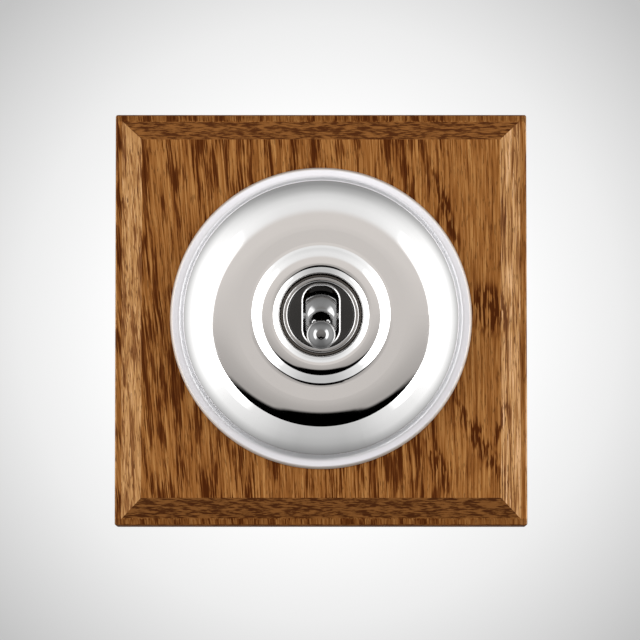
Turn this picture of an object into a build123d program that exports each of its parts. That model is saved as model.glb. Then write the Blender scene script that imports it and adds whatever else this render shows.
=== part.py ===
from build123d import *
import os
from collections import namedtuple
from math import atan2, cos, degrees, radians, sin, sqrt

# A toggle light switch on a square oak base, in millimetres and degrees.
# The pieces are modelled lying on their backs: X to the right, Y up the wall, Z out of the wall,
# with the origin in the middle of the base's back. They are stood up against the wall when written,
# so that the switch faces -Y and +Z is up.

# Oak base
base_side = 95.0
base_depth = 14.5
ledge_width = 1.5
chamfer_width = 4.7
chamfer_depth = 4.4
chamfer_foot_radius = 1.2
base_edge_radius = 0.5
bore_clearance = 0.9

# Fixing holes for a flush wall box
fixing_pitch = 60.3
fixing_hole_radius = 2.1
fixing_head_radius = 3.6

# Dome cover, one pressed sheet
rim_radius = 34.7
rim_land = 2.0
rim_edge_radius = 0.7
sheet = 0.9
rim_bend_radius = 0.5
dome_height = 9.89
wall_angle = 80.0
shoulder_angle = 22.0
disc_land = 3.0
boss_angle = 37.0
boss_hollow_radius = 2.4
boss_crown_radius = 5.8
lip_radius = 2.1
lip_angle = 38.0
lip_slope = 0.71
lip_edge_radius = 1.0
lip_drop = 1.33
lip_foot_radius = 0.3

# Neck of the moulding and the ring that holds the dome on it
neck_radius = 7.5
neck_wall = 0.9
neck_stand = 1.3
neck_edge_radius = 0.2
slot_width = 8.0
slot_corner_radius = 3.4
slot_edge_radius = 0.5
ring_width = 1.25
ring_height = 1.6
ring_edge_radius = 0.5
ring_gap = 0.6
thread_clearance = 0.05
cover_clearance = 0.35

# Dolly
dolly_throw = 38.0
dolly_reach = 16.5
ball_radius = 3.3
stem_root_radius = 2.8
stem_tip_radius = 1.9
stem_root_fillet = 1.2
stem_tip_fillet = 1.5
pivot_depth = 3.1
root_gap = 0.8
root_side_gap = 0.5
root_back = 4.2
root_edge_radius = 0.4
pin_radius = 1.0
pin_inset = 0.4
pin_running_clearance = 0.04
pin_press_clearance = 0.005

# Insulating tail, plunger and spring
tail_radius = 2.5
tail_plug_radius = 2.0
tail_plug_length = 2.6
tail_plug_clearance = 0.02
plunger_radius = 1.4
plunger_clearance = 0.05
plunger_projection = 2.6
plunger_in_tail = 2.2
nose_gap = 0.1
spring_seat = 0.6
spring_wire_radius = 0.17
spring_pitch = 0.75
spring_clearance = 0.1
stop_gap = 0.15

# Rocker contact and fixed contacts
rocker_depth = 6.3
rocker_throw = 16.0
rocker_arm = 8.5
rocker_width = 4.6
rocker_thickness = 0.8
trunnion_radius = 0.6
trunnion_clearance = 0.05
trunnion_overhang = 0.2
prong_gap = 0.4
prong_thickness = 0.8
prong_width = 4.0
prong_rise = 0.9
contact_reach = 7.0
contact_tip_radius = 1.2
contact_tip_height = 0.6
contact_gap = 0.1
strip_thickness = 0.8
strip_width = 4.8
strip_foot_width = 5.0
arm_clearance = 1.7

# Terminals
terminal_set_back = 15.0
terminal_width = 7.0
terminal_height = 9.0
terminal_depth = 7.5
terminal_pitch = 10.5
tunnel_radius = 1.75
tunnel_drop = 3.9
wire_hole_radius = 2.2
terminal_screw_radius = 1.65
terminal_screw_head_radius = 2.1
terminal_screw_head_height = 1.3
terminal_screw_hole_clearance = 0.3
screw_slot_width = 0.6
screw_slot_depth = 0.7
screw_clearance = 0.05

# Moulded case
case_wall = 4.2
case_corner_radius = 3.0
case_front_wall = 2.0
case_floor = 1.6
case_split_rise = 3.5
pocket_clearance = 0.1
rivet_radius = 1.2
rivet_head_radius = 1.75
rivet_head_height = 0.8
rivet_inset = 2.5
rivet_clearance = 0.05

# Mounting plate, its screws and its nut
plate_thickness = 1.2
plate_width = 32.0
plate_clearance = 1.3
plate_neck_clearance = 0.2
plate_screw_radius = 1.4
plate_screw_head_radius = 2.6
plate_screw_length = 11.0
plate_screw_point = 2.5
nut_wall = 2.1
nut_height = 3.0
earth_screw_radius = 1.7
earth_screw_head_radius = 2.8
earth_screw_head_height = 2.0
earth_screw_end = 0.7
earth_washer_radius = 3.4
earth_washer_thickness = 0.8

Straight = namedtuple("Straight", "length tilt")
Bend = namedtuple("Bend", "radius tilt_from tilt_to")


def lean(angle):
    """Unit normal of a surface that leans out from the axis by an angle, in the plane of X and Z."""
    return Vector(sin(radians(angle)), 0, cos(radians(angle)))


def run(step):
    """How far a step of the dome's section goes towards the axis. A hollow bend has a radius below zero."""
    if isinstance(step, Straight):
        return step.length * lean(step.tilt).Z
    return step.radius * (lean(step.tilt_from).X - lean(step.tilt_to).X)


def rise(step):
    """How far a step of the dome's section climbs."""
    if isinstance(step, Straight):
        return step.length * lean(step.tilt).X
    return step.radius * (lean(step.tilt_to).Z - lean(step.tilt_from).Z)


# The dome's section, worked out from the neck outwards
lip_steps = [
    Bend(lip_radius, 0, -lip_angle),
    Straight(lip_slope, -lip_angle),
    Bend(lip_edge_radius, -lip_angle, -90),
    Straight(lip_drop, -90),
    Bend(-lip_foot_radius, -90, 0),
]
boss_steps = [
    Bend(-boss_hollow_radius, 0, boss_angle),
    Bend(boss_crown_radius, boss_angle, 0),
]
rim_bend = Bend(-rim_bend_radius, 0, wall_angle)
steep = Bend(1, wall_angle, shoulder_angle)
gentle = Bend(1, shoulder_angle, 0)
ring_radius = neck_radius + thread_clearance + ring_width
seat_radius = ring_radius + ring_gap - lip_foot_radius
boss_foot = seat_radius + sum(run(step) for step in lip_steps + boss_steps)
shoulder_run = rim_radius - rim_land - run(rim_bend) - boss_foot - disc_land
shoulder_rise = dome_height - rise(rim_bend)
contrast = run(steep) * rise(gentle) - run(gentle) * rise(steep)
steep_radius = (shoulder_run * rise(gentle) - shoulder_rise * run(gentle)) / contrast
gentle_radius = (shoulder_rise * run(steep) - shoulder_run * rise(steep)) / contrast
cover_hole_radius = neck_radius + cover_clearance
dome_steps = [
    Straight(rim_land, 0),
    rim_bend,
    steep._replace(radius=steep_radius),
    gentle._replace(radius=gentle_radius),
    Straight(disc_land, 0),
    *boss_steps,
    *lip_steps,
    Straight(seat_radius - cover_hole_radius, 0),
]

# Heights out of the wall
face_z = base_depth
ledge_z = base_depth - chamfer_depth
rim_top_z = face_z + sheet
seat_z = rim_top_z + sum(rise(step) for step in dome_steps)
neck_top_z = seat_z + neck_stand
pivot_z = neck_top_z - pivot_depth
plate_top_z = face_z + plate_thickness
chamber_top_z = face_z - case_front_wall
rocker_z = face_z - rocker_depth
valley_z = rocker_z + max(rocker_thickness / 2, trunnion_radius)
moving_tip_z = rocker_z - rocker_thickness / 2 - contact_tip_height
strip_front_z = moving_tip_z - contact_gap - contact_tip_height
terminal_front_z = face_z - terminal_set_back
terminal_back_z = terminal_front_z - terminal_depth
tunnel_z = terminal_front_z - tunnel_drop
case_back_z = terminal_back_z - case_floor
split_z = terminal_front_z + case_split_rise

# The dolly's slot and root
rest_tilt = dolly_throw / 2
slot_height = 2 * (neck_radius - neck_wall)
root_radius = slot_height / 2 - root_gap
root_half_width = slot_width / 2 - root_side_gap
pin_half_length = neck_radius - pin_inset

# Lengths along the tail, back from the pivot
nose_reach = pivot_z - valley_z - nose_gap
tail_end = nose_reach - plunger_projection
plunger_start = tail_end - plunger_in_tail
spring_start = root_back + spring_seat
tail_swing = tail_end * sin(radians(rest_tilt)) + tail_radius * cos(radians(rest_tilt))
stop_half_height = tail_swing + stop_gap

# The rocker's cradle
prong_inner = rocker_width / 2 + prong_gap
prong_outer = prong_inner + prong_thickness
trunnion_half_length = prong_outer + trunnion_overhang

# The case and what stands round it
chamber_half_width = terminal_pitch + terminal_width / 2 + pocket_clearance
chamber_half_height = rocker_arm + arm_clearance
case_half_width = chamber_half_width + case_wall
case_half_height = chamber_half_height + case_wall
corner_x = case_half_width - case_corner_radius
corner_y = case_half_height - case_corner_radius
bore_radius = sqrt(corner_x**2 + corner_y**2) + case_corner_radius + bore_clearance
plate_end = rim_radius - rim_land - (rim_bend_radius + sheet) * lean(wall_angle).X - plate_clearance
plate_screw_y = (bore_radius + plate_end) / 2
earth_y = (case_half_height + bore_radius) / 2

UPRIGHT = (Align.CENTER, Align.CENTER, Align.MIN)
MATCH_TOLERANCE = 0.01


def is_at(value, wanted):
    """Whether a measured length is the wanted one."""
    return abs(value - wanted) < MATCH_TOLERANCE


def disc(radius, low, high):
    """A cylinder about Z between two heights."""
    return Pos(0, 0, low) * Cylinder(radius, high - low, align=UPRIGHT)


def block(x_span, y_span, z_span):
    """A box between two values on each axis."""
    spans = (x_span, y_span, z_span)
    sizes = [high - low for low, high in spans]
    middles = [(low + high) / 2 for low, high in spans]
    return Pos(*middles) * Box(*sizes)


def both_ways(half):
    """A span of equal reach on both sides of zero."""
    return (-half, half)


def rod(radius, half_length):
    """A cylinder along X through the origin."""
    return Rot(0, 90, 0) * Cylinder(radius, 2 * half_length)


def turned(points):
    """A solid turned about Z from (radius, height) corners."""
    outline = Polyline([(radius, 0, height) for radius, height in points], close=True)
    return revolve(make_face(outline), Axis.Z)


def skin(depth):
    """Edges of the dome's section at a depth under its outer face, from the rim to the middle."""
    edges = []
    point = Vector(rim_radius, 0, rim_top_z)
    for step in dome_steps:
        end = point + Vector(-run(step), 0, rise(step))
        if isinstance(step, Straight):
            under = lean(step.tilt) * depth
            edges.append(Line(point - under, end - under))
        else:
            centre = point - lean(step.tilt_from) * step.radius
            middle_tilt = (step.tilt_from + step.tilt_to) / 2
            tilts = (step.tilt_from, middle_tilt, step.tilt_to)
            edges.append(ThreePointArc(*[centre + lean(tilt) * (step.radius - depth) for tilt in tilts]))
        point = end
    return edges


def dome_cover():
    outer = skin(0)
    inner = skin(sheet)
    rim = Line(outer[0] @ 0, inner[0] @ 0)
    hole = Line(outer[-1] @ 1, inner[-1] @ 1)
    dome = revolve(make_face([*outer, *inner, rim, hole]), Axis.Z)
    rim_edges = dome.edges().filter_by(GeomType.CIRCLE).filter_by(
        lambda edge: edge.radius > rim_radius - rim_land / 2 and edge.center().Z > face_z + sheet / 2
    )
    return fillet(rim_edges, rim_edge_radius)


def cover_ring():
    ring = disc(ring_radius, seat_z, seat_z + ring_height)
    ring -= disc(neck_radius + thread_clearance, seat_z, seat_z + ring_height)
    return fillet(ring.edges().group_by(Axis.Z)[-1], ring_edge_radius)


def oak_base():
    front_side = base_side - 2 * ledge_width
    slope = degrees(atan2(chamfer_width, chamfer_depth))
    base = block(both_ways(base_side / 2), both_ways(base_side / 2), (0, ledge_z))
    base = fillet(base.edges().filter_by(Axis.Z) + base.edges().group_by(Axis.Z)[-1], base_edge_radius)
    base += Pos(0, 0, ledge_z) * extrude(Rectangle(front_side, front_side), chamfer_depth, taper=slope)
    foot = base.edges().filter_by(GeomType.LINE).filter_by(
        lambda edge: is_at(edge.center().Z, ledge_z) and is_at(edge.length, front_side)
    )
    base = fillet(foot, chamfer_foot_radius)
    base -= disc(bore_radius, 0, face_z)
    head_depth = fixing_head_radius - fixing_hole_radius
    for x in both_ways(fixing_pitch / 2):
        hole = disc(fixing_hole_radius, 0, face_z)
        hole += Pos(0, 0, face_z - head_depth) * Cone(
            fixing_hole_radius, fixing_head_radius, head_depth, align=UPRIGHT
        )
        base -= Pos(x, 0, 0) * hole
    screw_hole = disc(plate_screw_radius + screw_clearance, face_z - plate_screw_length, face_z)
    for y in both_ways(plate_screw_y):
        base -= Pos(0, y, 0) * screw_hole
    return base


def mounting_plate():
    outline = Rectangle(plate_width, 2 * plate_end) & Circle(plate_end)
    plate = Pos(0, 0, face_z) * extrude(outline, plate_thickness)
    plate -= disc(neck_radius + plate_neck_clearance, face_z, plate_top_z)
    for y in both_ways(plate_screw_y):
        plate -= Pos(0, y, plate_top_z) * countersunk_screw(screw_clearance)
    plate -= Pos(0, -earth_y, 0) * disc(earth_screw_radius + screw_clearance, face_z, plate_top_z)
    return plate


def countersunk_screw(clearance):
    """A wood screw hanging from its flat head at height 0, or with a clearance the room that it takes."""
    head = plate_screw_head_radius + clearance
    shank = plate_screw_radius + clearance
    end = -plate_thickness - plate_screw_length
    return turned(
        [
            (0, 0),
            (head, 0),
            (shank, shank - head),
            (shank, end + plate_screw_point),
            (0, end + clearance),
        ]
    )


def driver_slot(head_radius, top):
    """The cut of a screwdriver slot across a head whose top is at a height."""
    return block(both_ways(head_radius), both_ways(screw_slot_width / 2), (top - screw_slot_depth, top))


def plate_screws():
    screw = countersunk_screw(0) - driver_slot(plate_screw_head_radius, 0)
    return [Pos(0, y, plate_top_z) * screw for y in both_ways(plate_screw_y)]


def lock_nut():
    hexagon = RegularPolygon(neck_radius + nut_wall, 6, major_radius=False)
    hexagon -= Circle(neck_radius + thread_clearance)
    return Pos(0, 0, plate_top_z) * extrude(hexagon, nut_height)


def earth_screw():
    head_top_z = face_z - earth_washer_thickness
    head_back_z = head_top_z - earth_screw_head_height
    screw = disc(earth_screw_head_radius, head_back_z, head_top_z)
    screw += disc(earth_screw_radius, head_top_z, plate_top_z + earth_screw_end)
    slot = driver_slot(earth_screw_head_radius, head_back_z + screw_slot_depth)
    return Pos(0, -earth_y, 0) * (screw - slot)


def earth_washer():
    washer = disc(earth_washer_radius, face_z - earth_washer_thickness, face_z)
    washer -= disc(earth_screw_radius + screw_clearance, face_z - earth_washer_thickness, face_z)
    return Pos(0, -earth_y, 0) * washer


def case_blank(low, high):
    """The outline of the moulding between two heights."""
    outline = RectangleRounded(2 * case_half_width, 2 * case_half_height, case_corner_radius)
    return Pos(0, 0, low) * extrude(outline, high - low)


def chamber(low, high):
    """The space inside the moulding between two heights."""
    return block(both_ways(chamber_half_width), both_ways(chamber_half_height), (low, high))


def rivet(clearance):
    """A rivet through both halves of the case, or with a clearance the room that it takes."""
    shank = disc(rivet_radius + clearance, case_back_z, face_z)
    heads = disc(rivet_head_radius + clearance, case_back_z, case_back_z + rivet_head_height)
    heads += disc(rivet_head_radius + clearance, face_z - rivet_head_height, face_z)
    return shank + heads


def at_corners(shape):
    """Copies of a shape at the four rivets."""
    x = case_half_width - rivet_inset
    y = case_half_height - rivet_inset
    return [Pos(side_x, side_y, 0) * shape for side_x in both_ways(x) for side_y in both_ways(y)]


def neck():
    """The threaded neck with the dolly's slot, rounded at both edges of its end."""
    shape = disc(neck_radius, face_z, neck_top_z)
    shape = fillet(shape.edges().group_by(Axis.Z)[-1], neck_edge_radius)
    slot = RectangleRounded(slot_width, slot_height, slot_corner_radius)
    shape -= Pos(0, 0, face_z) * extrude(slot, neck_top_z - face_z)
    mouth = shape.faces().sort_by(Axis.Z)[-1].inner_wires()[0]
    return fillet(mouth.edges(), slot_edge_radius)


def case_front():
    case = case_blank(split_z, face_z) - chamber(split_z, chamber_top_z)
    case += neck()
    case -= block(both_ways(slot_width / 2), both_ways(stop_half_height), (chamber_top_z, face_z))
    case -= Pos(0, 0, pivot_z) * rod(pin_radius + pin_press_clearance, neck_radius)
    return case - at_corners(rivet(rivet_clearance))


def case_rear():
    case = case_blank(case_back_z, split_z) - chamber(terminal_front_z, split_z)
    pocket = block(
        both_ways(terminal_width / 2 + pocket_clearance),
        both_ways(terminal_height / 2 + pocket_clearance),
        (terminal_back_z, terminal_front_z),
    )
    screw_hole_radius = terminal_screw_head_radius + terminal_screw_hole_clearance
    screw_hole = disc(screw_hole_radius, case_back_z, terminal_back_z)
    wire_hole = Pos(0, -case_half_height / 2, tunnel_z) * Rot(90, 0, 0) * Cylinder(
        wire_hole_radius, case_half_height
    )
    for x in (-terminal_pitch, 0, terminal_pitch):
        case -= Pos(x, 0, 0) * (pocket + screw_hole + wire_hole)
    return case - at_corners(rivet(rivet_clearance))


def case_rivets():
    return at_corners(rivet(0))


def terminal(x):
    """A brass block with a tunnel for the wire and a threaded hole for its screw."""
    shape = block(
        both_ways(terminal_width / 2),
        both_ways(terminal_height / 2),
        (terminal_back_z, terminal_front_z),
    )
    shape -= Pos(0, 0, tunnel_z) * Rot(90, 0, 0) * Cylinder(tunnel_radius, terminal_height)
    shape -= disc(terminal_screw_radius + screw_clearance, terminal_back_z, tunnel_z)
    return Pos(x, 0, 0) * shape


def terminal_screws():
    head_back_z = terminal_back_z - terminal_screw_head_height
    tip_z = tunnel_z - tunnel_radius - screw_clearance
    screw = disc(terminal_screw_head_radius, head_back_z, terminal_back_z)
    screw += disc(terminal_screw_radius, terminal_back_z, tip_z)
    screw -= driver_slot(terminal_screw_head_radius, head_back_z + screw_slot_depth)
    return [Pos(x, 0, 0) * screw for x in (-terminal_pitch, 0, terminal_pitch)]


def common_cradle():
    foot = block(
        both_ways(prong_outer),
        both_ways(prong_width / 2),
        (terminal_front_z, terminal_front_z + strip_thickness),
    )
    prong = block(
        (prong_inner, prong_outer),
        both_ways(prong_width / 2),
        (terminal_front_z, rocker_z + prong_rise),
    )
    notch_radius = trunnion_radius + trunnion_clearance
    notch = Pos(0, 0, rocker_z) * rod(notch_radius, trunnion_half_length)
    notch += block(
        both_ways(trunnion_half_length),
        both_ways(notch_radius),
        (rocker_z, rocker_z + prong_rise),
    )
    return foot + (prong + mirror(prong, Plane.YZ)) - notch


def upper_contact():
    """A strip that stands on its terminal and reaches under the rocker's upper arm."""
    foot_right = -terminal_pitch + strip_foot_width / 2
    foot_left = foot_right - strip_foot_width
    across = (contact_reach - strip_width / 2, contact_reach + strip_width / 2)
    foot = block(
        (foot_left, foot_right),
        (-terminal_height / 2, across[1]),
        (terminal_front_z, terminal_front_z + strip_thickness),
    )
    riser = block((foot_right - strip_thickness, foot_right), across, (terminal_front_z, strip_front_z))
    shelf = block(
        (foot_right - strip_thickness, strip_width / 2),
        across,
        (strip_front_z - strip_thickness, strip_front_z),
    )
    return foot + riser + shelf


def lower_contact():
    return Rot(0, 0, 180) * upper_contact()


def fixed_contact_tips():
    tip = disc(contact_tip_radius, strip_front_z, strip_front_z + contact_tip_height)
    return [Pos(0, y, 0) * tip for y in both_ways(contact_reach)]


def on_rocker(shape):
    """Places what is drawn about the rocker's axis, with the upper arm pressed flat."""
    return Pos(0, 0, rocker_z) * Rot(-rocker_throw / 2, 0, 0) * shape


def arm_sides(shape):
    """A shape drawn on a level arm that reaches up, set on both bent arms of the rocker."""
    upper = Rot(rocker_throw / 2, 0, 0) * shape
    return [upper, Rot(0, 0, 180) * upper]


def rocker_contact():
    arm = block(both_ways(rocker_width / 2), (0, rocker_arm), both_ways(rocker_thickness / 2))
    return on_rocker(rod(trunnion_radius, trunnion_half_length) + arm_sides(arm))


def moving_contact_tips():
    under = -rocker_thickness / 2
    tip = Pos(0, contact_reach, 0) * disc(contact_tip_radius, under - contact_tip_height, under)
    return [on_rocker(placed) for placed in arm_sides(tip)]


def on_dolly(shape):
    """Places what is drawn with the pivot at the origin and the ball up Z, tipped down to its stop."""
    return Pos(0, 0, pivot_z) * Rot(rest_tilt, 0, 0) * shape


def dolly():
    stem = Polygon(
        [(0, 0), (stem_root_radius, 0), (stem_tip_radius, dolly_reach), (0, dolly_reach)], align=None
    )
    outline = Circle(root_radius) + stem + Pos(0, dolly_reach) * Circle(ball_radius)
    reach = dolly_reach + ball_radius
    outline &= Pos(root_radius / 2, (reach - root_radius) / 2) * Rectangle(root_radius, reach + root_radius)
    waists = outline.vertices().filter_by(
        lambda vertex: vertex.X > stem_tip_radius / 2
        and root_radius / 2 < vertex.Y < dolly_reach - ball_radius / 2
    )
    root_waist, tip_waist = waists.sort_by(Axis.Y)
    outline = fillet(root_waist, stem_root_fillet)
    tip_waist = outline.vertices().sort_by_distance(tip_waist)[0]
    outline = fillet(tip_waist, stem_tip_fillet)
    lever = revolve(Plane.XZ * outline, Axis.Z)
    lever &= block(
        both_ways(root_half_width), both_ways(root_radius), (-root_back, dolly_reach + ball_radius)
    )
    flats = lever.edges().filter_by(GeomType.CIRCLE).filter_by(
        lambda edge: is_at(abs(edge.center().X), root_half_width)
    )
    lever = fillet(flats, root_edge_radius)
    lever -= rod(pin_radius + pin_running_clearance, root_half_width)
    lever -= disc(tail_plug_radius + tail_plug_clearance, -root_back, tail_plug_length - root_back)
    return on_dolly(lever)


def pivot_pin():
    return Pos(0, 0, pivot_z) * rod(pin_radius, pin_half_length)


def dolly_tail():
    tail = disc(tail_radius, -tail_end, -root_back)
    tail += disc(tail_plug_radius, -root_back, tail_plug_length - root_back)
    tail -= disc(plunger_radius + plunger_clearance, -tail_end, -spring_start)
    return on_dolly(tail)


def plunger():
    nose_z = plunger_radius - nose_reach
    body = disc(plunger_radius, nose_z, -plunger_start)
    body += Pos(0, 0, nose_z) * Sphere(plunger_radius)
    return on_dolly(body)


def toggle_spring():
    coil_radius = plunger_radius - spring_clearance - spring_wire_radius
    height = plunger_start - spring_start - 2 * spring_wire_radius
    path = Helix(spring_pitch, height, coil_radius)
    wire = sweep(Plane(path @ 0, z_dir=path % 0) * Circle(spring_wire_radius), path, is_frenet=True)
    return on_dolly(Pos(0, 0, spring_wire_radius - plunger_start) * wire)


pieces = {
    "oak_base": oak_base(),
    "dome_cover": dome_cover(),
    "cover_ring": cover_ring(),
    "mounting_plate": mounting_plate(),
    "plate_screws": plate_screws(),
    "lock_nut": lock_nut(),
    "earth_screw": earth_screw(),
    "earth_washer": earth_washer(),
    "case_front": case_front(),
    "case_rear": case_rear(),
    "case_rivets": case_rivets(),
    "dolly": dolly(),
    "pivot_pin": pivot_pin(),
    "dolly_tail": dolly_tail(),
    "plunger": plunger(),
    "toggle_spring": toggle_spring(),
    "rocker_contact": rocker_contact(),
    "moving_contact_tips": moving_contact_tips(),
    "common_cradle": common_cradle(),
    "upper_contact": upper_contact(),
    "lower_contact": lower_contact(),
    "fixed_contact_tips": fixed_contact_tips(),
    "common_terminal": terminal(0),
    "upper_terminal": terminal(-terminal_pitch),
    "lower_terminal": terminal(terminal_pitch),
    "terminal_screws": terminal_screws(),
}


def stood_up(piece):
    """A piece, or a group of separate solids, turned from lying on its back to facing -Y."""
    if isinstance(piece, list):
        return Compound(children=[Rot(90, 0, 0) * solid for solid in piece])
    return Rot(90, 0, 0) * piece


os.makedirs("parts", exist_ok=True)
for name, piece in pieces.items():
    export_step(stood_up(piece), f"parts/{name}.step")
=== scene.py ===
from math import cos, radians, sin

import bpy
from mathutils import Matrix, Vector

# A toggle light switch on an oak base. The CAD nodes get their materials here, and the scene adds a floor, a backdrop,
# a studio that is only the world's brightness in each direction, and the photograph's camera.
# The row frame: X to the right, -Y out of the wall towards the camera, Z up.
# Lengths are in metres unless a name ends in _MM. The grain lengths of a noise are along X, Y and Z.

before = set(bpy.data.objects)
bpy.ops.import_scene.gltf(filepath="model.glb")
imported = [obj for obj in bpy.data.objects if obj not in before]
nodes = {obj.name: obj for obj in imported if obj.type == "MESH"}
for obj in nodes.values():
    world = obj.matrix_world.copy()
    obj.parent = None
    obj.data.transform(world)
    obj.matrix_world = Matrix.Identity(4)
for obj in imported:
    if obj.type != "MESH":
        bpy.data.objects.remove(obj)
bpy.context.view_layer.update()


def srgb(red, green, blue):
    """A colour as seen on screen, in 0 to 255, as the shader needs it."""
    def linear(value):
        value /= 255
        return value / 12.92 if value <= 0.04045 else ((value + 0.055) / 1.055) ** 2.4
    return (linear(red), linear(green), linear(blue), 1.0)


def grey(shade):
    """A grey as the shader needs it."""
    return (shade, shade, shade, 1.0)


MM = 0.001
NOISE_MIDDLE = 0.5

# The photograph's frame
IMAGE_SIDE_PIXELS = 640
PIXELS_PER_MM = 4.334
FRAME_WIDTH = IMAGE_SIDE_PIXELS / PIXELS_PER_MM * MM
SCALE_PLANE_Y = -10.1 * MM
CAMERA_TARGET = Vector((-0.24 * MM, SCALE_PLANE_Y, -0.1 * MM))
CAMERA_BELOW = radians(4.1)
CAMERA_AIM = Vector((0.0, cos(CAMERA_BELOW), sin(CAMERA_BELOW)))
CAMERA_DISTANCE = 1.2
CAMERA_SENSOR_MM = 36.0
CAMERA_CLIP_END = 20.0

# The floor, and the backdrop, which glows with a painted pool of light, brightest in its middle. Its distances are
# shares of its reach.
FLOOR_Z = -0.95
FLOOR_SIDE = 8.0
FLOOR_MOTTLE_MM = (60, 60, 60)
FLOOR_COLOURS = (srgb(226, 226, 226), srgb(218, 218, 218))
FLOOR_ROUGHNESS = 0.7
BACKDROP_Y = 2.6
BACKDROP_SIDE = 5.0
BACKDROP_HALF_FRAME = FRAME_WIDTH / 2 * (CAMERA_DISTANCE + BACKDROP_Y) / CAMERA_DISTANCE
BACKDROP_REACH_MM = BACKDROP_HALF_FRAME * 1.5 / MM
BACKDROP_GLOW_BY_DISTANCE = ((0.4, 1.0), (0.625, 0.855), (0.93, 0.55))
BEYOND_BACKDROP = grey(0.75)

# The studio's brightness, by how far a direction points back (-1 to 1), up (-1 to 1) or to the side (0 to 1)
TOP_BY_DEPTH = ((-0.7, 0.84), (-0.52, 0.84), (-0.24, 0.73), (0.07, 0.49), (0.45, 0.32), (1.0, 0.27))
BELOW_BY_DEPTH = ((-0.7, 0.58), (-0.37, 0.55), (0.0, 0.47), (0.31, 0.36), (0.6, 0.27), (1.0, 0.27))
SIDE_BY_DEPTH = ((-0.77, 1.25), (0.1, 1.25), (0.38, 0.92), (0.65, 0.6), (0.9, 0.5), (1.0, 0.48))
SIDE_SHARE_ABOVE = ((0.2, 0.0), (0.34, 0.05), (0.5, 0.22), (0.64, 0.46), (0.77, 0.75), (0.9, 1.0))
SIDE_SHARE_BELOW = ((0.2, 0.0), (0.34, 0.1), (0.5, 0.3), (0.64, 0.45), (0.77, 0.6), (0.87, 0.85), (0.95, 1.0))
LEAST_OUTWARD = 0.001

# Two bright strips, left and right
STRIP_BRIGHTNESS = 3.4
STRIP_SIDEWAYS = (0.62, 0.9)
STRIP_FORWARD = (0.42, 0.5)

# A cone in front of the switch, with a softer edge above than below
FRONT_CONE = cos(radians(40))
FRONT_CONE_TILT = 0.045
FRONT_CONE_SOFT = 0.012
FRONT_CONE_SOFT_ABOVE = 0.12
FRONT_WARMTH = (1.0, 0.945, 0.905)
FRONT_BY_HEIGHT = ((-0.29, 0.4), (-0.1, 0.485), (0.07, 0.615), (0.25, 0.69), (0.4, 0.69))

# The dark table in that cone: a thin crescent along its lower edge, and a flat-topped rise in the middle
TABLE_TILT = radians(45)
TABLE_EDGE = (0.3, 0.38)
TABLE_RISE = (-0.33, -0.25)
TABLE_RISE_CURVE = 2.2
TABLE_COLOUR = grey(0.0)

# The oak's colours by tone, from its palest grain to its darkest
FACE_COLOURS = (
    (-0.45, srgb(170, 121, 68)), (-0.28, srgb(154, 105, 56)), (-0.15, srgb(141, 91, 44)),
    (0.0, srgb(127, 78, 34)), (0.15, srgb(104, 59, 23)), (0.28, srgb(86, 43, 11)), (0.45, srgb(68, 29, 2)),
)
# The chamfers' colours, painted paler where they catch the light
LIT_SIDE_COLOURS = (
    (-0.8, srgb(216, 172, 130)), (-0.45, srgb(198, 152, 102)), (-0.15, srgb(178, 131, 80)),
    (0.15, srgb(155, 108, 62)), (0.45, srgb(122, 76, 40)), (0.8, srgb(94, 54, 26)),
)
OAK_ROUGH_TONES = (-0.3, 0.3)
OAK_ROUGHNESS = (0.42, 0.55)
OAK_SHINE = 0.04
OAK_BUMP_MM = 0.05
OAK_BUMP_STRENGTH = 0.4
OAK_FIBRE_HEIGHT = -0.5

# The grain's lean to the left as it rises, less so on the right, and its slow bends
LEAN = 0.05
LEAN_LOSS_PER_MM = 0.001
SWAY_MM = (18, 30, 26)
SWAY_ACROSS_MM = 1.4

# Fibres, lines and broad dark streaks along the grain, and the pores
FIBRES_MM = (0.22, 0.3, 8.0)
FIBRES_WEIGHT = 1.05
LINES_MM = (0.55, 0.7, 16.0)
LINES_WEIGHT = 0.8
STREAKS_MM = (1.7, 1.9, 12.0)
STREAKS_FRAYING = 0.3
STREAKS_FROM = (0.48, 0.61)
STREAKS_TONE = (-0.13, 0.32)
PORES_MM = (0.24, 0.3, 2.2)
PORES_FROM = (0.6, 0.68)
FACE_PORES = 0.5
FACE_PORE_COLOUR = srgb(62, 28, 4)

# The plain grain of the right side, which is paler and has few streaks
PLAIN_FROM_MM = (25, 34)
PLAIN_SWAY_MM = 14.0
PLAIN_STREAK_LOSS = 0.8
PLAIN_PALER = 0.12

# Dark flames: middle in X and Z, half width, half height, and millimetres to the left for each one up
FLAMES_MM = (
    (38.5, 2.0, 4.2, 5.5, 0.1),
    (36.2, -28.0, 2.3, 9.5, 0.57),
    (26.6, -33.0, 1.7, 8.0, 0.32),
    (41.2, -24.5, 0.9, 5.0, -0.25),
    (28.6, 25.6, 1.3, 9.4, 0.32),
)
FLAMES_EDGE = (0.5, 1.4)
FLAMES_FRAYING_MM = (0.6, 0.8, 3.5)
FLAMES_FRAYING_WEIGHT = 2.0
FLAMES_FROM = (-0.14, 0.1)
FLAMES_TONE = 0.62

# The chamfers left and right, painted paler where they catch the light, and darker again on the right and towards its
# top
SIDE_FACING = (0.25, 0.4)
SIDE_ACROSS_MM = (-40, 40)
SIDE_CONTRAST = (1.3, 2.8)
SIDE_TONE = (0.02, 0.25)
SIDE_SHADE_FROM_MM = (-10, 30)
SIDE_SHADE_TONE = (-0.06, 0.16)
SIDE_PORES = 0.8
LIT_SIDE_PORE_COLOUR = srgb(84, 44, 16)
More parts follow.
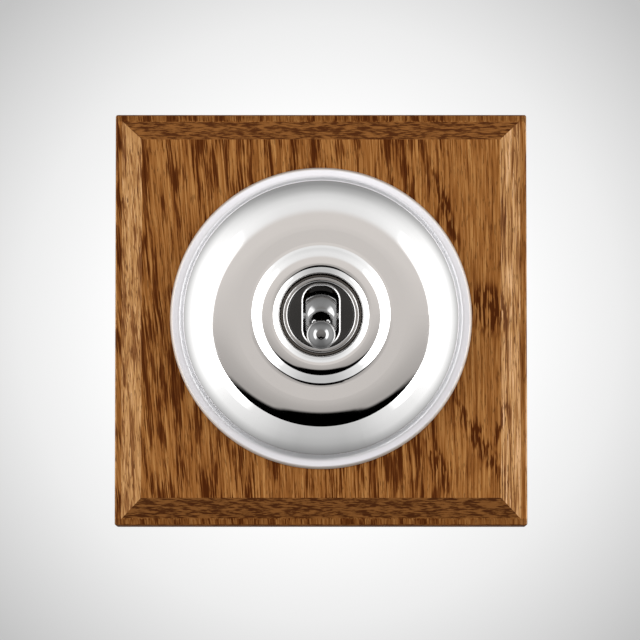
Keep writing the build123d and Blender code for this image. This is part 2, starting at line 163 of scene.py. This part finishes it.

# The end grain above and below, and the painted shade on the ledges there
END_FACING = (0.35, 0.6)
END_SLANT = 0.8
END_STROKES_MM = (2.0, 0.36, 0.36)
END_BLOTCHES_MM = (3.0, 1.4, 1.4)
END_BLOTCHES_WEIGHT = 0.5
END_STROKES_FROM = (0.38, 0.6)
END_COLOURS = (srgb(130, 83, 40), srgb(72, 36, 10))
LEDGE_FROM_MM = (45.8, 46.1)
LEDGE_SHADE = 0.35
LEDGE_SHADE_COLOUR = srgb(70, 36, 8)

# Chrome, with clouds and polishing marks. The dolly's chrome is painted darker than the dome's, as painted shade.
DOME_COLOUR = (0.93, 0.925, 0.92, 1.0)
RING_COLOUR = (0.45, 0.445, 0.44, 1.0)
DOLLY_SHADED_COLOUR = grey(0.25)
CLOUD_MM = (6, 6, 6)
CLOUD_SHADE = 0.97
POLISH_MM = (0.12, 2.0, 3.0)
POLISH_WEIGHT = 0.3
POLISH_FROM = (0.4, 0.9)
POLISH_ROUGHNESS = (0.03, 0.06)

# The dome by its radius: painted shade in its well and on the foot of its wall, a satin rim, and a painted reflection
# of the wood as a tan line at the rim's edge
WELL_MM = (9.3, 9.45)
WELL_SHADE_TINT = (0.12, 0.11, 0.1, 1.0)
FOOT_FROM_MM = (31.3, 31.7)
FOOT_TO_MM = (32.0, 33.25)
FOOT_SHADE_TINT = (0.55, 0.55, 0.555, 1.0)
SATIN_FROM_MM = (31.55, 31.85)
SATIN_TINT = (0.96, 0.955, 0.99, 1.0)
SATIN_ROUGHNESS = 0.55
EDGE_FROM_MM = (33.9, 34.5)
EDGE_WOOD_REFLECTION_TINT = (0.5, 0.43, 0.37, 1.0)

# Other metals, with worn patches and tool marks; the contacts inside the case get darker brass as painted shade
WEAR_MM = (3.0, 3.0, 3.0)
WEAR_FROM = (0.35, 0.7)
TOOL_MARKS_MM = (0.08, 1.6, 1.6)
TOOL_MARKS_FROM = (0.3, 0.7)
TOOL_MARKS_BUMP_MM = 0.01
TOOL_MARKS_BUMP_STRENGTH = 0.3

# Mouldings, with dusty patches and a slight orange peel. A moulding is its two colours, its roughness and its shine.
DUST_MM = (4.0, 4.0, 4.0)
DUST_FROM = (0.4, 0.75)
DUST_ROUGH_FROM = (0.3, 0.7)
PEEL_MM = (0.5, 0.5, 0.5)
PEEL_BUMP_MM = 0.01
PEEL_BUMP_STRENGTH = 0.25
BLACK_MOULDING = (srgb(22, 21, 20), srgb(32, 31, 29), (0.08, 0.16), 0.6)
PRESSED_FIBRE = (srgb(82, 51, 28), srgb(60, 38, 22), (0.5, 0.65), 0.3)

# The plated mouth of the slot in the neck's end
SLOT_HALF_WIDTH_MM = 4.0
SLOT_HALF_HEIGHT_MM = 6.6
SLOT_CORNER_MM = 3.4
SLOT_PLATE_TO_MM = (SLOT_CORNER_MM + 0.4, SLOT_CORNER_MM + 0.55)
SLOT_PLATE_TINT = grey(0.8)
NECK_END_MM = 24.94
NECK_PLATE_FROM_MM = (NECK_END_MM - 0.75, NECK_END_MM - 0.5)


class Tree:
    """A node tree under construction, with short ways to add nodes to it."""

    def __init__(self, tree):
        self.tree = tree

    def node(self, kind, inputs, **settings):
        node = self.tree.nodes.new(kind)
        for name, value in settings.items():
            setattr(node, name, value)
        for key, value in inputs.items():
            self.feed(node.inputs[key], value)
        return node

    def feed(self, socket, value):
        """Links a socket to another one, or sets it to a constant."""
        if isinstance(value, bpy.types.NodeSocket):
            self.tree.links.new(value, socket)
        else:
            socket.default_value = value

    def vector(self, operation, a, b):
        return self.node("ShaderNodeVectorMath", {0: a, 1: b}, operation=operation).outputs[0]

    def length(self, place):
        return self.node("ShaderNodeVectorMath", {0: place}, operation="LENGTH").outputs["Value"]

    def axes(self, place):
        return self.node("ShaderNodeSeparateXYZ", {0: place}).outputs

    def join(self, x, y, z):
        return self.node("ShaderNodeCombineXYZ", {0: x, 1: y, 2: z}).outputs[0]

    def math(self, operation, a, b=0.0):
        return self.node("ShaderNodeMath", {0: a, 1: b}, operation=operation).outputs[0]

    def plus(self, a, b):
        return self.math("ADD", a, b)

    def minus(self, a, b):
        return self.math("SUBTRACT", a, b)

    def times(self, a, b):
        return self.math("MULTIPLY", a, b)

    def over(self, a, b):
        return self.math("DIVIDE", a, b)

    def larger(self, a, b):
        return self.math("MAXIMUM", a, b)

    def absolute(self, a):
        return self.math("ABSOLUTE", a)

    def negative(self, a):
        return self.times(a, -1.0)

    def noise(self, place, lengths, detail=2.0, roughness=0.5):
        """Noise whose grain is about that long along each axis, in millimetres."""
        stretched = self.vector("DIVIDE", place, lengths)
        settings = {"Vector": stretched, "Scale": 1.0, "Detail": detail, "Roughness": roughness}
        return self.node("ShaderNodeTexNoise", settings).outputs[0]

    def stray(self, place, lengths, weight):
        """How far a plain noise strays from its middle, times a weight."""
        return self.times(self.minus(self.noise(place, lengths, detail=1.0), NOISE_MIDDLE), weight)

    def between(self, value, low, high, start=0.0, end=1.0):
        """A smooth step from start to end as a value goes from low to high."""
        settings = {"Value": value, "From Min": low, "From Max": high, "To Min": start, "To Max": end}
        return self.node("ShaderNodeMapRange", settings, interpolation_type="SMOOTHSTEP").outputs[0]

    def mix(self, share, a, b):
        """Colour a where the share is 0, and b where it is 1."""
        return self.node("ShaderNodeMix", {"Factor": share, 6: a, 7: b}, data_type="RGBA").outputs[2]

    def tones(self, value, stops):
        """A colour that follows (value, colour) stops, for a value between -1 and 1."""
        share = self.node("ShaderNodeMapRange", {"Value": value, "From Min": -1.0, "From Max": 1.0}).outputs[0]
        ramp = self.node("ShaderNodeValToRGB", {"Fac": share})
        elements = ramp.color_ramp.elements
        elements.remove(elements[0])
        elements[0].position = (stops[0][0] + 1) / 2
        for place, _ in stops[1:]:
            elements.new((place + 1) / 2)
        for element, (_, colour) in zip(elements, stops):
            element.color = colour
        return ramp.outputs["Color"]

    def ramp(self, value, stops):
        """A grey that follows (value, brightness) stops, for a value between -1 and 1."""
        return self.tones(value, [(place, grey(shade)) for place, shade in stops])


class Paint(Tree):
    """A material under construction, with its shader and its places in millimetres."""

    def __init__(self, name):
        self.material = bpy.data.materials.new(name)
        self.material.use_nodes = True
        super().__init__(self.material.node_tree)
        self.shader = self.tree.nodes["Principled BSDF"]
        where = self.node("ShaderNodeTexCoord", {})
        self.normal = where.outputs["Normal"]
        self.place = self.vector("MULTIPLY", where.outputs["Object"], (1 / MM,) * 3)

    def bump(self, height, distance_mm, strength):
        settings = {"Height": height, "Distance": distance_mm * MM, "Strength": strength}
        return self.node("ShaderNodeBump", settings).outputs[0]

    def set(self, **inputs):
        """Sets or links the shader's own inputs, named with underscores for spaces."""
        for name, value in inputs.items():
            self.feed(self.shader.inputs[name.replace("_", " ")], value)


def flames_at(paint, x, z):
    """How far a point is inside a dark flame, from 0 to 1."""
    inside = 0.0
    for flame_x, flame_z, half_width, half_height, slant in FLAMES_MM:
        above = paint.minus(z, flame_z)
        aside = paint.minus(paint.plus(x, paint.times(above, slant)), flame_x)
        away = paint.length(paint.join(paint.over(aside, half_width), paint.over(above, half_height), 0.0))
        inside = paint.larger(inside, paint.between(away, *FLAMES_EDGE, 1.0, 0.0))
    return inside


def grain_tone(paint, grain, fibres, sway):
    """How dark the grain is, from below 0 for pale to above 0 for dark."""
    x, _, z = paint.axes(paint.place)
    fine = paint.plus(fibres, paint.stray(grain, LINES_MM, LINES_WEIGHT))
    plain = paint.between(paint.plus(x, paint.times(sway, PLAIN_SWAY_MM)), *PLAIN_FROM_MM)
    broad = paint.noise(grain, STREAKS_MM, detail=3.0, roughness=0.55)
    frayed = paint.plus(broad, paint.times(fibres, STREAKS_FRAYING))
    bold = paint.minus(1.0, paint.times(plain, PLAIN_STREAK_LOSS))
    streaks = paint.times(paint.between(frayed, *STREAKS_FROM, *STREAKS_TONE), bold)
    tone = paint.minus(paint.plus(fine, streaks), paint.times(plain, PLAIN_PALER))
    frayed = paint.plus(paint.stray(grain, FLAMES_FRAYING_MM, FLAMES_FRAYING_WEIGHT), fine)
    flames = paint.times(paint.between(frayed, *FLAMES_FROM), flames_at(paint, x, z))
    return paint.plus(tone, paint.times(flames, FLAMES_TONE))


def lit_side_wood(paint, tone, pores):
    """The wood of the chamfers left and right, painted paler where they catch the light."""
    x, _, z = paint.axes(paint.place)
    contrast = paint.between(x, *SIDE_ACROSS_MM, *SIDE_CONTRAST)
    shade = paint.between(z, *SIDE_SHADE_FROM_MM, *SIDE_SHADE_TONE)
    side_tone = paint.plus(paint.times(tone, contrast), paint.between(x, *SIDE_ACROSS_MM, *SIDE_TONE))
    side_tone = paint.plus(side_tone, paint.times(shade, paint.between(x, *SIDE_ACROSS_MM)))
    return paint.mix(paint.times(pores, SIDE_PORES), paint.tones(side_tone, LIT_SIDE_COLOURS), LIT_SIDE_PORE_COLOUR)


def end_wood(paint):
    """The end grain above and below."""
    x, y, z = paint.axes(paint.place)
    slanted = paint.join(paint.plus(x, paint.times(z, END_SLANT)), y, z)
    strokes = paint.noise(slanted, END_STROKES_MM, detail=3.0, roughness=0.6)
    strokes = paint.plus(strokes, paint.stray(slanted, END_BLOTCHES_MM, END_BLOTCHES_WEIGHT))
    return paint.mix(paint.between(strokes, *END_STROKES_FROM), *END_COLOURS)


def oak():
    """Open-grained oak, with its grain along Z."""
    paint = Paint("oak")
    x, y, z = paint.axes(paint.place)
    sway = paint.minus(paint.noise(paint.place, SWAY_MM), NOISE_MIDDLE)
    lean = paint.minus(LEAN, paint.times(x, LEAN_LOSS_PER_MM))
    across = paint.plus(paint.plus(x, paint.times(z, lean)), paint.times(sway, SWAY_ACROSS_MM))
    grain = paint.join(across, y, z)
    fibres = paint.stray(grain, FIBRES_MM, FIBRES_WEIGHT)
    tone = grain_tone(paint, grain, fibres, sway)
    pores = paint.between(paint.noise(grain, PORES_MM, detail=1.0), *PORES_FROM)

    nx, ny, nz = paint.axes(paint.normal)
    side = paint.between(paint.times(paint.absolute(nx), paint.negative(ny)), *SIDE_FACING)
    end = paint.between(paint.absolute(nz), *END_FACING)
    ledge_shade = paint.between(paint.absolute(z), *LEDGE_FROM_MM)
    wood = paint.mix(paint.times(pores, FACE_PORES), paint.tones(tone, FACE_COLOURS), FACE_PORE_COLOUR)
    # The chamfers left and right get paler wood: painted light where they catch it
    wood = paint.mix(side, wood, lit_side_wood(paint, tone, pores))
    wood = paint.mix(end, wood, end_wood(paint))
    # The ledges above and below get painted shade
    wood = paint.mix(paint.times(ledge_shade, LEDGE_SHADE), wood, LEDGE_SHADE_COLOUR)

    height = paint.minus(paint.times(fibres, OAK_FIBRE_HEIGHT), pores)
    paint.set(
        Base_Color=wood,
        Roughness=paint.between(tone, *OAK_ROUGH_TONES, *OAK_ROUGHNESS),
        Specular_IOR_Level=OAK_SHINE,
        Normal=paint.bump(height, OAK_BUMP_MM, OAK_BUMP_STRENGTH),
    )
    return paint


def chrome(name, colour):
    """Bright plate with faint polishing marks."""
    paint = Paint(name)
    cloud = paint.noise(paint.place, CLOUD_MM, detail=3.0)
    blend = paint.plus(cloud, paint.times(paint.noise(paint.place, POLISH_MM), POLISH_WEIGHT))
    clouded = [channel * CLOUD_SHADE for channel in colour[:3]] + [1.0]
    paint.set(
        Base_Color=paint.mix(cloud, colour, clouded),
        Metallic=1.0,
        Roughness=paint.between(blend, *POLISH_FROM, *POLISH_ROUGHNESS),
    )
    return paint


def linked(paint, name):
    """What feeds an input of the shader so far."""
    return paint.shader.inputs[name].links[0].from_socket


def zone_dome(paint):
    """Gives the dome's chrome its zones about the Y axis: painted shade in the well and on the foot of its wall, a
    satin rim, and a painted reflection of the wood at the rim's edge.
    """
    x, _, z = paint.axes(paint.place)
    radius = paint.length(paint.join(x, 0.0, z))
    satin = paint.between(radius, *SATIN_FROM_MM)
    foot_shade = paint.minus(paint.between(radius, *FOOT_FROM_MM), paint.between(radius, *FOOT_TO_MM))
    tint = paint.mix(satin, linked(paint, "Base Color"), SATIN_TINT)
    # Painted shade dulls the foot of the dome's wall
    tint = paint.mix(foot_shade, tint, FOOT_SHADE_TINT)
    # A painted reflection of the wood tints the rim's edge tan
    tint = paint.mix(paint.between(radius, *EDGE_FROM_MM), tint, EDGE_WOOD_REFLECTION_TINT)
    # Painted shade darkens the well around the ring
    tint = paint.mix(paint.between(radius, *WELL_MM), WELL_SHADE_TINT, tint)
    roughness = paint.plus(linked(paint, "Roughness"), paint.times(satin, SATIN_ROUGHNESS))
    paint.set(Base_Color=tint, Roughness=roughness)
    return paint


def metal(name, colour, worn, rough_low, rough_high):
    """Plated or turned metal with fine tool marks."""
    paint = Paint(name)
    patches = paint.noise(paint.place, WEAR_MM, detail=4.0)
    marks = paint.noise(paint.place, TOOL_MARKS_MM)
    paint.set(
        Base_Color=paint.mix(paint.between(patches, *WEAR_FROM), colour, worn),
        Metallic=1.0,
        Roughness=paint.between(marks, *TOOL_MARKS_FROM, rough_low, rough_high),
        Normal=paint.bump(marks, TOOL_MARKS_BUMP_MM, TOOL_MARKS_BUMP_STRENGTH),
    )
    return paint


def moulding(name, colour, dusty, roughness, shine):
    """Moulded or pressed insulating material."""
    paint = Paint(name)
    patches = paint.noise(paint.place, DUST_MM, detail=4.0)
    peel = paint.noise(paint.place, PEEL_MM)
    paint.set(
        Base_Color=paint.mix(paint.between(patches, *DUST_FROM), colour, dusty),
        Roughness=paint.between(patches, *DUST_ROUGH_FROM, *roughness),
        Specular_IOR_Level=shine,
        Normal=paint.bump(peel, PEEL_BUMP_MM, PEEL_BUMP_STRENGTH),
    )
    return paint


def plate_slot(paint):
    """Plates the mouth of the neck's slot with bright metal."""
    x, y, z = paint.axes(paint.place)
    past_x = paint.minus(paint.absolute(x), SLOT_HALF_WIDTH_MM - SLOT_CORNER_MM)
    past_z = paint.minus(paint.absolute(z), SLOT_HALF_HEIGHT_MM - SLOT_CORNER_MM)
    corner = paint.length(paint.join(paint.larger(past_x, 0.0), 0.0, paint.larger(past_z, 0.0)))
    within = paint.math("MINIMUM", paint.larger(past_x, past_z), 0.0)
    beside = paint.between(paint.plus(corner, within), *SLOT_PLATE_TO_MM, 1.0, 0.0)
    plated = paint.times(beside, paint.between(paint.negative(y), *NECK_PLATE_FROM_MM))
    paint.set(Base_Color=paint.mix(plated, linked(paint, "Base Color"), SLOT_PLATE_TINT), Metallic=plated)
    return paint


finishes = (
    (oak(), ["oak_base"]),
    (zone_dome(chrome("dome_chrome", DOME_COLOUR)), ["dome_cover"]),
    (chrome("ring_chrome", RING_COLOUR), ["cover_ring"]),
    # The dolly's chrome is painted darker, as painted shade
    (chrome("dolly_chrome", DOLLY_SHADED_COLOUR), ["dolly"]),
    (plate_slot(moulding("neck_moulding", *BLACK_MOULDING)), ["case_front"]),
    (moulding("black_moulding", *BLACK_MOULDING), ["case_rear"]),
    (moulding("pressed_fibre", *PRESSED_FIBRE), ["dolly_tail", "plunger"]),
    (
        metal("zinc_plate", srgb(196, 198, 200), srgb(172, 172, 170), 0.24, 0.4),
        ["mounting_plate", "plate_screws", "pivot_pin"],
    ),
    (metal("spring_wire", srgb(140, 141, 144), srgb(108, 108, 110), 0.2, 0.34), ["toggle_spring"]),
    (
        metal("brass", srgb(214, 176, 104), srgb(176, 136, 74), 0.22, 0.38),
        [
            "lock_nut", "earth_screw", "earth_washer", "case_rivets", "common_terminal", "upper_terminal",
            "lower_terminal", "terminal_screws",
        ],
    ),
    # The contacts inside the case get darker brass, as painted shade where little light reaches
    (
        metal("dull_shaded_brass", srgb(112, 88, 52), srgb(84, 64, 38), 0.45, 0.6),
        ["common_cradle", "upper_contact", "lower_contact", "rocker_contact"],
    ),
    (
        metal("contact_silver", srgb(226, 224, 218), srgb(190, 184, 172), 0.14, 0.26),
        ["moving_contact_tips", "fixed_contact_tips"],
    ),
)
for finish, names in finishes:
    for name in names:
        nodes[name].data.materials.clear()
        nodes[name].data.materials.append(finish.material)

# The chrome shows the studio rather than the wood it stands on or the dolly in its middle
for name in ("oak_base", "dolly"):
    nodes[name].visible_glossy = False


def card(name, side, surface):
    """A square card of the studio that the chrome doesn't show, level until it is turned."""
    half = side / 2
    corners = [(-half, -half, 0), (half, -half, 0), (half, half, 0), (-half, half, 0)]
    mesh = bpy.data.meshes.new(name)
    mesh.from_pydata(corners, [], [(0, 1, 2, 3)])
    mesh.materials.append(surface)
    thing = bpy.data.objects.new(name, mesh)
    thing.visible_glossy = False
    bpy.context.scene.collection.objects.link(thing)
    return thing


def surroundings(sky, dx, dy, dz):
    """The studio all round: its top, bottom and sides, and the strips."""
    outward = sky.length(sky.join(dx, 0.0, dz))
    sideways = sky.over(sky.absolute(dx), sky.larger(outward, LEAST_OUTWARD))
    above = sky.math("GREATER_THAN", dz, 0.0)
    to_side = sky.mix(above, sky.ramp(sideways, SIDE_SHARE_BELOW), sky.ramp(sideways, SIDE_SHARE_ABOVE))
    middle = sky.mix(above, sky.ramp(dy, BELOW_BY_DEPTH), sky.ramp(dy, TOP_BY_DEPTH))
    around = sky.mix(to_side, middle, sky.ramp(dy, SIDE_BY_DEPTH))
    strip = sky.times(sky.between(sideways, *STRIP_SIDEWAYS), sky.between(sky.negative(dy), *STRIP_FORWARD))
    return sky.vector("ADD", around, sky.times(strip, STRIP_BRIGHTNESS))


def front_cone(sky, dx, dy, dz):
    """How far a direction is inside the cone in front, from 0 to 1, and the colour there."""
    forward = sky.negative(dy)
    tilted = sky.minus(forward, sky.times(dz, FRONT_CONE_TILT))
    soft = sky.plus(sky.times(sky.larger(dz, 0.0), FRONT_CONE_SOFT_ABOVE), FRONT_CONE_SOFT)
    inside = sky.between(tilted, sky.minus(FRONT_CONE, soft), sky.plus(FRONT_CONE, soft))
    over_table = sky.plus(sky.times(forward, cos(TABLE_TILT)), sky.times(dz, sin(TABLE_TILT)))
    over_rise = sky.plus(dz, sky.times(sky.times(dx, dx), TABLE_RISE_CURVE))
    clear = sky.times(sky.between(over_table, *TABLE_EDGE), sky.between(over_rise, *TABLE_RISE))
    front = sky.vector("MULTIPLY", sky.ramp(dz, FRONT_BY_HEIGHT), FRONT_WARMTH)
    return inside, sky.mix(clear, TABLE_COLOUR, front)


world = bpy.data.worlds.new("studio")
world.use_nodes = True
bpy.context.scene.world = world
sky = Tree(world.node_tree)
directions = sky.axes(sky.node("ShaderNodeTexCoord", {}).outputs["Generated"])
in_front, front = front_cone(sky, *directions)
studio = sky.mix(in_front, surroundings(sky, *directions), front)
seen_by_camera = sky.node("ShaderNodeLightPath", {}).outputs["Is Camera Ray"]
sky.feed(sky.tree.nodes["Background"].inputs["Color"], sky.mix(seen_by_camera, studio, BEYOND_BACKDROP))

floor_paint = Paint("pale_floor")
mottle = floor_paint.noise(floor_paint.place, FLOOR_MOTTLE_MM, detail=3.0)
floor_paint.set(Base_Color=floor_paint.mix(mottle, *FLOOR_COLOURS), Roughness=FLOOR_ROUGHNESS)
floor = card("floor", FLOOR_SIDE, floor_paint.material)
floor.location.z = FLOOR_Z

backdrop_paint = Paint("backdrop")
distance = backdrop_paint.over(backdrop_paint.length(backdrop_paint.place), BACKDROP_REACH_MM)
backdrop_paint.set(
    Base_Color=grey(0.0),
    Specular_IOR_Level=0.0,
    # The backdrop glows with a painted pool of light, brightest in its middle
    Emission_Color=backdrop_paint.ramp(distance, BACKDROP_GLOW_BY_DISTANCE),
    Emission_Strength=1.0,
)
backdrop = card("backdrop", BACKDROP_SIDE, backdrop_paint.material)
backdrop.location = CAMERA_TARGET + CAMERA_AIM * (BACKDROP_Y / CAMERA_AIM.y)
backdrop.rotation_euler = (radians(90), 0.0, 0.0)
backdrop.visible_diffuse = False
backdrop.visible_shadow = False

camera = bpy.data.objects.new("camera", bpy.data.cameras.new("camera"))
camera.data.sensor_width = CAMERA_SENSOR_MM
camera.data.lens = CAMERA_SENSOR_MM * CAMERA_DISTANCE / FRAME_WIDTH
camera.data.clip_end = CAMERA_CLIP_END
camera.location = CAMERA_TARGET - CAMERA_AIM * CAMERA_DISTANCE
camera.rotation_euler = CAMERA_AIM.to_track_quat("-Z", "Y").to_euler()
bpy.context.scene.collection.objects.link(camera)
bpy.context.scene.camera = camera
bpy.context.scene.view_settings.view_transform = "Standard"
